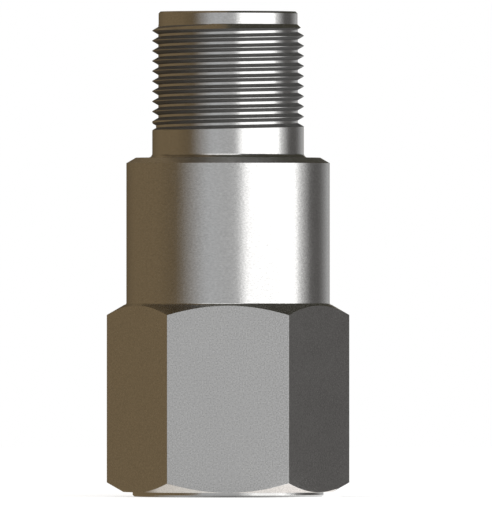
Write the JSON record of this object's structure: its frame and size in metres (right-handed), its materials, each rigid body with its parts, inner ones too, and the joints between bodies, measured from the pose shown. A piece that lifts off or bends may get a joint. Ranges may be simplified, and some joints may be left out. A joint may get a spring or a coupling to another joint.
{
  "type": "vibration sensor",
  "caption": "Industrial piezoelectric accelerometer: a stainless steel hexagon and barrel with a tapped base and a threaded round connector with contact pins.",
  "frame": {"origin": "centre of the mounting face, at the bottom of the base", "axes": "+Z is the sensing axis and points to the connector; -Y is the front, faced by one flat of the hexagon; the contact pins lie along X"},
  "size_m": [0.0254, 0.022, 0.0508],
  "materials": {
    "housing_steel": "satin turned stainless steel",
    "base_steel": "fine turned stainless steel",
    "alumina": "fired matt ceramic",
    "titanium": "ground titanium",
    "piezo_ceramic": "lapped piezo ceramic",
    "tungsten": "ground tungsten alloy",
    "spring_steel": "ground spring alloy",
    "shield_metal": "drawn nickel alloy sheet",
    "cup_plastic": "moulded insulating plastic",
    "grommet_rubber": "matt moulded rubber",
    "spacer_plastic": "turned plastic",
    "board_laminate": "solder-masked laminate",
    "screw_steel": "plain stainless steel",
    "chip_plastic": "moulded epoxy",
    "capacitor_ceramic": "fired ceramic with tinned ends",
    "resistor_ceramic": "glazed ceramic with tinned ends",
    "diode_plastic": "moulded epoxy",
    "wire_metal": "bare drawn wire",
    "lead_red": "extruded insulation",
    "lead_white": "extruded insulation",
    "connector_steel": "machined stainless steel with a cut thread",
    "header_steel": "machined stainless steel",
    "seal_glass": "fused dark sealing glass",
    "pin_gold": "gold plated"
  },
  "bodies": {
    "root": {"housing": "housing_steel", "mounting_base": "base_steel", "isolation_disc": "alumina", "sensor_post": "titanium", "piezo_plate_1": "piezo_ceramic", "piezo_plate_2": "piezo_ceramic", "piezo_plate_3": "piezo_ceramic", "seismic_mass_1": "tungsten", "seismic_mass_2": "tungsten", "seismic_mass_3": "tungsten", "preload_ring": "spring_steel", "inner_shield": "shield_metal", "insulating_cup": "cup_plastic", "lead_grommet": "grommet_rubber", "board_spacer": "spacer_plastic", "circuit_board": "board_laminate", "board_screw": "screw_steel", "amplifier_chip": "chip_plastic", "capacitors": "capacitor_ceramic", "resistors": "resistor_ceramic", "protection_diode": "diode_plastic", "sensor_lead": "wire_metal", "signal_lead_a": "lead_red", "signal_lead_b": "lead_white", "connector_shell": "connector_steel", "header_plate": "header_steel", "glass_bead_a": "seal_glass", "glass_bead_b": "seal_glass", "contact_pin_a": "pin_gold", "contact_pin_b": "pin_gold"}
  },
  "joints": []
}
